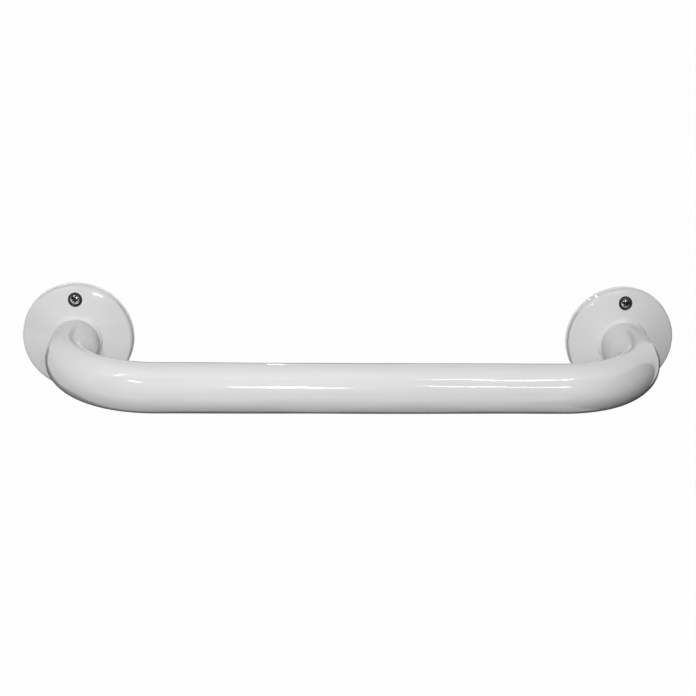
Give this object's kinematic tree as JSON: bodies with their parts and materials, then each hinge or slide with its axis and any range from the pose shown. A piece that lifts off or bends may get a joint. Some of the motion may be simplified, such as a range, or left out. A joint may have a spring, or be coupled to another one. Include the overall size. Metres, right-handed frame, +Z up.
{
  "type": "wall-mounted bath safety rail",
  "caption": "White enamelled grab rail: a bent round tube welded to domed round flanges, screwed to a wall as a fixed handhold beside a bath.",
  "frame": {"origin": "on the wall plane, midway between the centres of the two flanges", "axes": "+X along the rail, +Y into the wall, so the rail stands out towards -Y, +Z up"},
  "size_m": [0.4572, 0.1407, 0.0762],
  "materials": {
    "white_enamel": "glossy white enamel over steel",
    "bright_screw": "bright plated steel"
  },
  "bodies": {
    "root": {"rail_tube": "white_enamel", "flange_left": "white_enamel", "flange_right": "white_enamel", "weld_front_left": "white_enamel", "weld_front_right": "white_enamel", "weld_back_left": "white_enamel", "weld_back_right": "white_enamel", "screw_left_top": "bright_screw", "screw_left_bottom": "bright_screw", "screw_right_top": "bright_screw", "screw_right_bottom": "bright_screw"}
  },
  "joints": []
}
